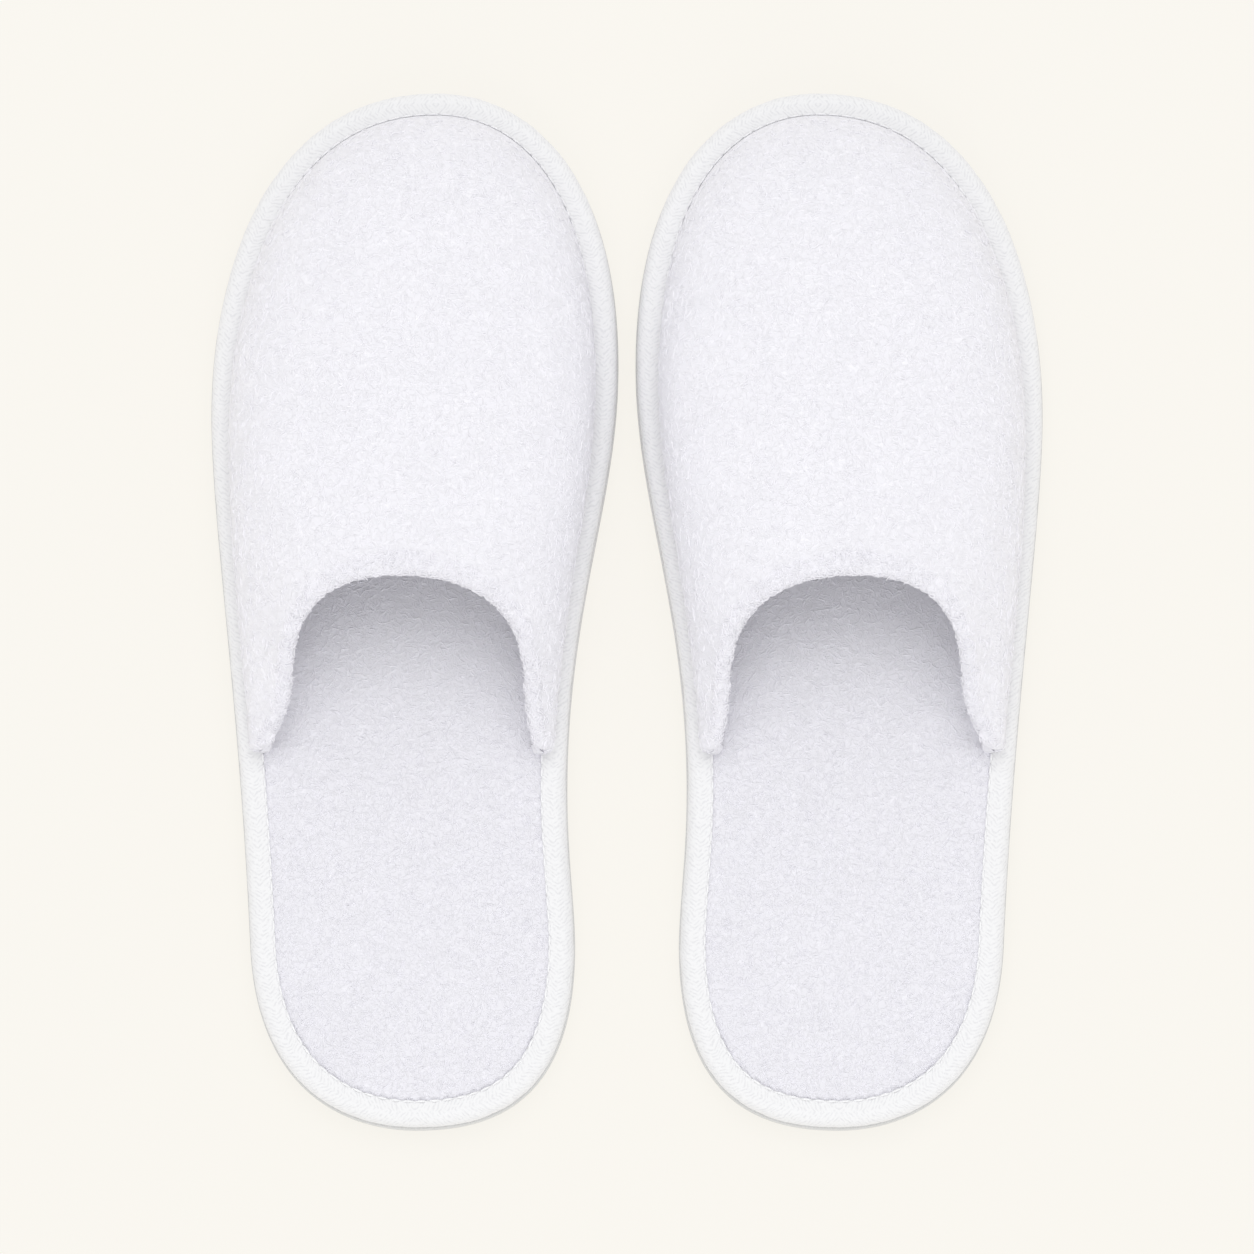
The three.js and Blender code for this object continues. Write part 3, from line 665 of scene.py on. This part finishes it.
def upper_terry(coarse):
    """Outer terry: outer face, rolled throat, turned-in hem, back face and rounded wing ends, closed."""
    steps = len(coarse) - 1
    wing_step = np.linalg.norm(coarse[1, 0] - coarse[0, 0])
    from_end = np.array([0, 0.1, 0.25, 0.45, 0.7, 1.0, 1.35, 1.75, 2.25, 2.8, 3.4])
    near = from_end / wing_step
    where = np.concatenate([near, np.linspace(near[-1], steps - near[-1], 400)[1:-1], steps - near[::-1]])
    rows = 141
    outer = resample(resample(coarse, where, 0), rows, 1)
    ribs = len(outer)
    normal = grid_normals(outer)
    end_gap = np.minimum(where, steps - where) * wing_step
    radius = STACK_THICK / 2
    round_off = np.sqrt(1 - (1 - np.clip(end_gap / radius, 0.02, 1)) ** 2)
    edge_way = outer[:, -1] - outer[:, -2]
    edge_way /= np.linalg.norm(edge_way, axis=1, keepdims=True)
    edge_normal = normal[:, -1]
    lumps = 0.04 * roughness_field(outer, 3.5, 1) + 0.04 * roughness_field(outer, 1.6, 2)
    lumps *= np.clip(np.arange(rows) / 6, 0, 1)[None]
    offset = normal * (radius + lumps[..., None])
    foot_share = np.clip(1 - np.arange(rows) / 30, 0, 1)[None, :, None]
    rounding = round_off[:, None, None] + (1 - round_off[:, None, None]) * foot_share
    shown = outer - normal * radius + offset * rounding
    centre = outer[:, -1] - edge_normal * radius
    roll = []
    for angle in np.linspace(0, math.pi, 13)[1:]:
        spoke = edge_normal * math.cos(angle) + edge_way * math.sin(angle)
        point = centre + spoke * radius
        bumps = 0.1 * roughness_field(point, 2.4, 3) + 0.17 * roughness_field(point, 1.2, 4)
        roll.append(centre + spoke * (radius + bumps)[..., None] * round_off[:, None])
    seam = shown[:, :1].copy()
    seam[:, 0, 2] = SEAM_Z
    hem_rows = hem_start(outer)
    solid = np.clip((3.0 - end_gap) / 0.5, 0, 1)
    back = back_rows(outer, normal, hem_rows, solid, round_off)
    section = np.concatenate([seam, shown, np.stack(roll, axis=1), back], axis=1)
    points = section.reshape(-1, 3)
    count = section.shape[1]
    faces = [grid_faces(ribs, count, wrap_columns=True)]
    caps = [np.arange(count)[None, ::-1], (np.arange(count) + (ribs - 1) * count)[None]]
    pieces = both("upper_terry_cloth", points, [f[:, ::-1] for f in faces + caps], upper_cloth,
                  ("upper_terry",))
    for piece in pieces:
        for face in piece.data.polygons:
            face.use_smooth = len(face.vertices) == 4
    pile_grid = np.concatenate([shown[:, 3:], np.stack(roll[:9], axis=1)], axis=1)
    pile_normals = grid_normals(pile_grid)
    loops, loop_faces = pile_loops(pile_grid, pile_normals, UPPER_LOOPS, 11, 0.15, height=0.6)
    both("upper_pile", loops, loop_faces, yarn_upper,
         uv=pile_map(UPPER_LOOPS), map_name="OFBake", smooth=False)
    edge = (slice(8, -8), slice(-14, None))
    loops, loop_faces = pile_loops(pile_grid[edge], pile_normals[edge], THROAT_LOOPS, 13, 0.16, height=0.9)
    both("throat_pile", loops, loop_faces, yarn_upper,
         uv=pile_map(THROAT_LOOPS), map_name="OFBake", smooth=False)
    keep = (end_gap > 2.9).nonzero()[0]
    return outer[keep], normal[keep]


def hem_start(outer):
    """For each rib, the height along it where the hem's inner edge lies, as a distance from the throat."""
    return np.minimum(HEM_WIDTH, 0.45 * rib_runs(outer)[:, -1])


def back_rows(outer, normal, hem, solid, round_off):
    """The cloth's inner side: down the hem, in to the cloth's own thickness, and down to the seam."""
    run = rib_runs(outer)
    total = run[:, -1]
    middle = STACK_THICK / 2

    def at(distance, depth):
        depth = depth + (STACK_THICK - depth) * solid
        rows = []
        for i in range(len(outer)):
            place, facing = on_rib(outer, normal, run, i, distance[i])
            rows.append(place - facing * (middle + (depth[i] - middle) * round_off[i]))
        return np.array(rows)

    rows = [at(total - hem * share, STACK_THICK) for share in (0.35, 0.7, 0.95)]
    rows.append(at(total - hem, STACK_THICK - 0.5))
    rows.append(at(total - hem - 0.2, TERRY_THICK + 0.5))
    for share in np.linspace(1, 0, 18):
        rows.append(at((total - hem - 0.6) * share, TERRY_THICK))
    last = rows[-1].copy()
    last[:, 2] = SEAM_Z
    rows.append(last)
    return np.stack(rows, axis=1)


def inner_shell(outer, normal, hem, ribs, rows, depths, gap):
    """A closed layer under the outer face, between two depths, from the seam up to the hem."""
    run = rib_runs(outer)
    picked = np.linspace(0, len(outer) - 1, ribs).round().astype(int)
    sheets = []
    for depth in depths:
        sheet = np.empty((ribs, rows + 1, 3))
        for n, i in enumerate(picked):
            wanted = np.linspace(0, run[i, -1] - hem[i] - gap, rows)
            place, facing = on_rib(outer, normal, run, i, wanted)
            sheet[n, 1:] = place - facing * depth
            sheet[n, 0] = sheet[n, 1]
            sheet[n, 0, 2] = SEAM_Z
        sheets.append(sheet)
    section = np.concatenate([sheets[0], sheets[1][:, ::-1]], axis=1)
    count = section.shape[1]
    faces = [grid_faces(ribs, count, wrap_columns=True)[:, ::-1]]
    half = rows + 1
    for i, flip in ((0, False), (ribs - 1, True)):
        j = np.arange(half - 1)
        strip = i * count + np.stack([j, j + 1, count - 2 - j, count - 1 - j], axis=1)
        faces.append(strip if not flip else strip[:, ::-1])
    return section.reshape(-1, 3), faces


# ---- Sole pieces ----

def footbed_sheet(rows, columns, inset):
    """A grid over the sole inside an inset of its outline, from heel to toe."""
    places = np.linspace(0, 1, 1501)
    line = sole_points(places, np.full_like(places, inset))
    toe = int(np.argmax(line[:, 1]))
    lateral, medial = line[:toe + 1], line[toe:][::-1]
    low, high = line[:, 1].min() + 0.02, line[:, 1].max() - 0.02
    turn = np.linspace(-math.pi / 2, math.pi / 2, rows)
    y = (low + high) / 2 + (high - low) / 2 * np.sin(turn)
    left = np.interp(y, lateral[:, 1], lateral[:, 0])
    right = np.interp(y, medial[:, 1], medial[:, 0])
    share = np.linspace(0, 1, columns)[None]
    x = left[:, None] * (1 - share) + right[:, None] * share
    return np.stack([x, np.repeat(y[:, None], columns, axis=1), np.full_like(x, FOOTBED_TOP)], axis=-1)


def edge_distance(points):
    """Distance from the sole's outline of each point of a grid, roughly, in plan."""
    line = sole_points(np.linspace(0, 1, 361), np.zeros(361))
    flat = points.reshape(-1, 3)[:, :2]
    best = np.full(len(flat), 1e9)
    for a, b in zip(line[:-1], line[1:]):
        ab = b - a
        share = np.clip(((flat - a) @ ab) / (ab @ ab), 0, 1)
        best = np.minimum(best, np.linalg.norm(flat - a - share[:, None] * ab, axis=1))
    return best.reshape(points.shape[:-1])


def footbed():
    """Terry footbed: a thin pad that swells a little inside the tape."""
    coarse = footbed_sheet(97, 33, 2.3)
    distance = edge_distance(coarse)
    held = distance < 7.5
    held[:1] = True
    held[-1:] = True
    swollen = puff(coarse, held, pressure=3.0, cap=1.2)
    swollen[..., 2] += 1.0 * np.clip((distance - 6.6) / 1.8, 0, 1) ** 0.6
    rows, columns = 381, 121
    top = resample(resample(swollen, rows, 0), columns, 1)
    inside = np.clip((edge_distance(top) - 7.5) / 3, 0, 1)
    top[..., 2] += inside * (0.03 * roughness_field(top, 3.0, 5) + 0.04 * roughness_field(top, 1.6, 6))
    border = np.concatenate([
        np.arange(columns - 1),
        np.arange(rows - 1) * columns + columns - 1,
        (rows - 1) * columns + np.arange(columns - 1, 0, -1),
        np.arange(rows - 1, 0, -1) * columns,
    ])
    flat = top.reshape(-1, 3)
    skirt = flat[border].copy()
    skirt[:, 2] = footbed_low[2]
    start = len(flat)
    n = len(border)
    ahead = (np.arange(n) + 1) % n
    sides = np.stack([border, start + np.arange(n), start + ahead, border[ahead]], axis=1)
    bottom = (start + np.arange(n))[None, ::-1]
    points = np.vstack([flat, skirt])
    pieces = both("footbed_cloth", points, [grid_faces(rows, columns)[:, ::-1], sides, bottom],
                  footbed_cloth, ("footbed_terry",))
    up = np.zeros_like(top)
    up[..., 2] = 1
    middle = (top[:-1, :-1] + top[1:, 1:]) / 2
    weight = (edge_distance(middle) > 7.6) * np.where(middle[..., 1] < THROAT_Y + 30, 1.0, 0.15)
    loops, loop_faces = pile_loops(top, up, FOOTBED_LOOPS, 12, 0.13, height=0.55, weight=weight)
    both("footbed_pile", loops, loop_faces, yarn_footbed,
         uv=pile_map(FOOTBED_LOOPS), map_name="OFBake", smooth=False)


def tape_section():
    """The folded tape's section as [inset, height], round its outer side and back along its inner side."""
    low = OUTSOLE_TOP + 0.05
    top = TAPE_TOP
    outer = [(TAPE_FLANGE, low)]
    outer += [(x, low) for x in np.linspace(5.5, 2.4, 3)]
    for angle in np.linspace(-90, 0, 6)[1:]:
        a = math.radians(angle)
        outer.append((TAPE_SET_BACK + 2.2 - 2.2 * math.cos(a), low + 2.2 + 2.2 * math.sin(a)))
    for angle in np.linspace(0, 90, 9):
        a = math.radians(angle)
        outer.append((TAPE_SET_BACK + 3.6 - 3.6 * math.cos(a), top - 3.4 + 3.4 * math.sin(a)))
    outer += [(5.0, top), (5.9, top - 0.03), (6.6, top - 0.1), (TAPE_FLANGE + 0.2, top - 0.25)]
    inner = [(TAPE_FLANGE + 0.1, top - 0.85), (6.0, top - 0.85), (4.2, top - 0.9)]
    for angle in np.linspace(90, 0, 5):
        a = math.radians(angle)
        inner.append((TAPE_SET_BACK + TAPE_THICK + 2.6 - 2.6 * math.cos(a), top - 3.5 + 2.6 * math.sin(a)))
    for angle in np.linspace(0, -90, 4):
        a = math.radians(angle)
        inner.append((TAPE_SET_BACK + TAPE_THICK + 1.3 - 1.3 * math.cos(a), low + 2.1 + 1.3 * math.sin(a)))
    inner += [(4.5, low + 0.75), (TAPE_FLANGE, low + 0.75)]
    return np.array(outer), np.array(inner)


def edge_tape():
    """Herringbone tape folded round the insole stack, with soft gathers where it turns the ends."""
    outer, inner = tape_section()
    section = np.vstack([outer, inner])
    stations = 1300
    places = np.arange(stations) / stations
    step = np.linalg.norm(np.diff(section, axis=0, append=section[:1]), axis=1)
    across = np.concatenate([[0], np.cumsum(step)[:-1]])
    across -= across[np.argmax(outer[:, 1])]
    length = np.interp(places, [0, TOE_PLACE, 1], [HALF_ROUND, 0, HALF_ROUND])
    centre = section.mean(axis=0)
    out = section - centre
    out /= np.linalg.norm(out, axis=1, keepdims=True)
    shown = np.arange(len(section)) < len(outer)
    phase = 2 * math.pi * (length[:, None] + 0.8 * np.abs(across[None])) / 2.6
    ring = sole_points(places, np.zeros(stations))
    gathers = np.array([noise.noise(Vector((x / 5, y / 5, 7.0))) for x, y in ring])
    swell = (0.03 * np.sin(phase) + 0.14 * gathers[:, None]) * shown[None]
    points = []
    for k in range(len(section)):
        inset = section[k, 0] + out[k, 0] * swell[:, k]
        plan = sole_points(places, inset)
        points.append(np.column_stack([plan, section[k, 1] + out[k, 1] * swell[:, k]]))
    points = np.stack(points, axis=1)
    uv = np.stack([np.repeat(length[:, None], len(section), axis=1),
                   np.repeat(across[None], stations, axis=0)], axis=-1)
    faces = [grid_faces(stations, len(section), wrap_rows=True, wrap_columns=True)]
    corners = uv.reshape(-1, 2)[faces[0]]
    pieces = both("edge_tape", points.reshape(-1, 3), faces, tape_cloth, ("edge_binding",),
                  uv=[corners])


def stitch_tubes(line, up, length, pitch, radius):
    """Stitches along a line: short tubes that dip into the cloth at both ends."""
    ahead = np.diff(line, axis=0)
    run = np.concatenate([[0], np.cumsum(np.linalg.norm(ahead, axis=1))])
    count = int(run[-1] / pitch)
    pitch = run[-1] / count
    steps, sides = 7, 6
    points = []
    faces = []
    angles = np.arange(sides) * 2 * math.pi / sides
    for n in range(count):
        start = n * pitch + (pitch - length) / 2
        where = start + np.linspace(0, length, steps)
        spine = np.stack([np.interp(where, run, line[:, k]) for k in range(3)], axis=-1)
        lift = np.stack([np.interp(where, run, up[:, k]) for k in range(3)], axis=-1)
        arc = np.sin(np.linspace(0, math.pi, steps)) ** 0.6
        spine += lift * (arc * radius * 1.9 - radius * 1.1)[:, None]
        way = np.gradient(spine, axis=0)
        way /= np.linalg.norm(way, axis=1, keepdims=True)
        side = np.cross(way, lift)
        side /= np.linalg.norm(side, axis=1, keepdims=True)
        above = np.cross(side, way)
        ring = side[:, None] * np.cos(angles)[None, :, None] + above[:, None] * np.sin(angles)[None, :, None]
        size = radius * (0.5 + 0.5 * arc)[:, None, None]
        base = n * steps * sides
        points.append((spine[:, None] + ring * size).reshape(-1, 3))
        faces.append(grid_faces(steps, sides, base, wrap_columns=True)[:, ::-1])
    quads = np.vstack(faces)
    firsts = np.arange(count)[:, None] * steps * sides
    caps = np.vstack([firsts + np.arange(sides)[None], firsts + (steps * sides - 1 - np.arange(sides))[None]])
    return np.vstack(points), [quads, caps]


def binding_seam():
    """The binding's seam: a row of lockstitches just inside the tape's inner edge."""
    places = np.linspace(0, 1, 2401)
    plan = sole_points(places, np.full_like(places, TAPE_FLANGE))
    line = np.column_stack([plan, np.full(len(plan), TAPE_TOP + 0.02)])
    up = np.zeros_like(line)
    up[:, 2] = 1
    points, faces = stitch_tubes(line, up, length=2.7, pitch=3.6, radius=0.32)
    both("binding_stitches", points, faces, spun_thread, ("binding_stitch",))


def hem_seam(outer, normal, hem):
    """The hem's seam, inside the mouth on the turned-in terry."""
    run = rib_runs(outer)
    line, up = [], []
    for i in range(6, len(outer) - 6):
        where = run[i, -1] - hem[i] * 0.6
        place, facing = on_rib(outer, normal, run, i, where)
        line.append(place - facing * (STACK_THICK + 0.1))
        up.append(-facing)
    points, faces = stitch_tubes(np.array(line), np.array(up), length=2.6, pitch=3.4, radius=0.28)
    both("hem_stitches", points, faces, spun_thread, ("hem_stitch",))


def sole_slab(name, side, inset, low, high):
    """A flat slab to the sole's outline: a filled circle reshaped to it and extruded up."""
    corners = 260
    outline = sole_points(np.arange(corners) / corners, np.full(corners, inset))
    bpy.ops.object.select_all(action="DESELECT")
    bpy.ops.mesh.primitive_circle_add(vertices=corners, radius=0.05, fill_type="NGON")
    slab = bpy.context.object
    slab.name = slab.data.name = f"{side}_{name}"
    floor = in_place(np.column_stack([outline, np.full(corners, low)]), side)
    slab.data.vertices.foreach_set("co", floor.astype(np.float32).ravel())
    bpy.ops.object.mode_set(mode="EDIT")
    bpy.ops.mesh.select_all(action="SELECT")
    bpy.ops.mesh.extrude_region_move(TRANSFORM_OT_translate={"value": (0, 0, (high - low) * MM)})
    bpy.ops.mesh.select_all(action="SELECT")
    bpy.ops.mesh.normals_make_consistent(inside=False)
    bpy.ops.object.mode_set(mode="OBJECT")
    return slab, outline


def round_rims(slab, width):
    """Adds a bevel to the slab's sharp edges, applies every modifier and shades it smooth."""
    rounding = slab.modifiers.new("rims", "BEVEL")
    rounding.width = width * MM
    rounding.segments = 3
    rounding.limit_method = "ANGLE"
    bpy.ops.object.select_all(action="DESELECT")
    bpy.context.view_layer.objects.active = slab
    slab.select_set(True)
    for modifier in list(slab.modifiers):
        bpy.ops.object.modifier_apply(modifier=modifier.name)
    bpy.ops.object.shade_smooth_by_angle(angle=math.radians(35))


def groove_cutters(outline, side):
    """Bars across the toe and heel, joined, that cut the tread's grooves into the underside."""
    toe_grooves = [TOE_Y - GROOVE_START - GROOVE_PITCH * i for i in range(TOE_GROOVES)]
    heel_grooves = [HEEL_Y + GROOVE_START + GROOVE_PITCH * i for i in range(HEEL_GROOVES)]
    bars = []
    for y in toe_grooves + heel_grooves:
        plan = outline[np.abs(outline[:, 1] - y) < 3]
        x_low, x_high = plan[:, 0].min() + GROOVE_MARGIN, plan[:, 0].max() - GROOVE_MARGIN
        bpy.ops.object.select_all(action="DESELECT")
        bpy.ops.mesh.primitive_cube_add(size=1)
        bar = bpy.context.object
        middle = in_place(np.array([[(x_low + x_high) / 2, y, 0]]), side)[0]
        reach = Matrix.Diagonal(((x_high - x_low) * MM, GROOVE_WIDTH * MM, 2 * GROOVE_DEPTH * MM, 1))
        bar.data.transform(Matrix.Translation(middle) @ reach)
        bars.append(bar)
    bpy.ops.object.select_all(action="DESELECT")
    for bar in bars:
        bar.select_set(True)
    bpy.context.view_layer.objects.active = bars[0]
    bpy.ops.object.join()
    return bars[0]


def outsole():
    """Moulded EVA outsole with cross grooves underneath and rounded rims."""
    for side in SIDES:
        sole, outline = sole_slab("outsole_foam", side, 0, 0, OUTSOLE_TOP)
        cutter = groove_cutters(outline, side)
        cut = sole.modifiers.new("grooves", "BOOLEAN")
        cut.operation = "DIFFERENCE"
        cut.object = cutter
        cut.solver = "EXACT"
        round_rims(sole, 0.45)
        bpy.data.objects.remove(cutter)
        sole.data.materials.clear()
        sole.data.materials.append(eva_foam)
        settle(sole, side, ("outsole",))


def insole_pad():
    """The insole's foam, a thin pad between board and footbed."""
    for side in SIDES:
        pad = sole_slab("insole_pad", side, 2.3, foam_low[2], foam_high[2])[0]
        round_rims(pad, 0.6)
        pad.data.materials.append(pad_foam)
        settle(pad, side, ("insole_foam",))


# ---- The scene ----

def stage():
    """A plain pale floor, a pale surround and soft studio light from above."""
    bpy.ops.object.select_all(action="DESELECT")
    bpy.ops.mesh.primitive_plane_add(size=12, location=(0, 0, 0))
    floor = bpy.context.object
    floor.name = "floor"
    floor.data.transform(Matrix.Translation((0, 0, -0.0003)))
    material, _, shader = new_material("pale studio floor", roughness=1.0)
    shader.inputs["Base Color"].default_value = linear("#6A6967")
    shader.inputs["Emission Color"].default_value = linear("#FBF8F1")
    shader.inputs["Emission Strength"].default_value = 0.82
    floor.data.materials.append(material)
    world = bpy.data.worlds.new("pale surround")
    bpy.context.scene.world = world
    world.use_nodes = True
    background = world.node_tree.nodes["Background"]
    background.inputs[0].default_value = linear("#FFFFFF")
    background.inputs[1].default_value = 0.8
    for name, place, size, power in (
        ("overhead softbox", (0, 0.9, 2.1), 1.8, 12.8),
        ("front softbox", (0, -1.8, 1.3), 1.5, 9.0),
    ):
        data = bpy.data.lights.new(name, "AREA")
        data.shape = "DISK"
        data.size = size
        data.energy = power
        lamp = bpy.data.objects.new(name, data)
        lamp.location = place
        lamp.rotation_euler = (-Vector(place)).to_track_quat("-Z", "Y").to_euler()
        bpy.context.scene.collection.objects.link(lamp)


def camera():
    """The camera looks almost straight down, tipped a little from the heels' side, with a long lens."""
    elevation = math.radians(81)
    distance = 2.2
    frame_width = 0.3459
    data = bpy.data.cameras.new("camera")
    data.sensor_width = 36
    data.lens = 36 * distance / frame_width
    data.clip_end = 50
    eye = bpy.data.objects.new("camera", data)
    target = Vector((0, -0.0068, 0.012))
    back = Vector((0, -math.cos(elevation), math.sin(elevation)))
    eye.location = target + back * distance
    eye.rotation_euler = (math.pi / 2 - elevation, 0, 0)
    bpy.context.scene.collection.objects.link(eye)
    bpy.context.scene.camera = eye


bpy.context.scene.view_settings.view_transform = "Standard"
camera()
stage()

outsole()
insole_pad()
footbed()
edge_tape()
binding_seam()
coarse_upper = puffed_upper()
outer_face, outer_normal = upper_terry(coarse_upper)
hem_width = hem_start(outer_face)
hem_seam(outer_face, outer_normal, hem_width)
shell, shell_faces = inner_shell(outer_face, outer_normal, hem_width, 145, 40, (1.9, 3.4), 0.9)
for layer in both("upper_wadding", shell, shell_faces, wadding, ("upper_interlining",)):
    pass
shell, shell_faces = inner_shell(outer_face, outer_normal, hem_width, 217, 60, (3.7, 4.5), 0.4)
for layer in both("upper_lining_cloth", shell, shell_faces, lining_cloth, ("upper_lining",)):
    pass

for side in SIDES:
    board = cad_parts[f"{side}_insole_board"]
    board.data.materials.clear()
    board.data.materials.append(fibre_board)
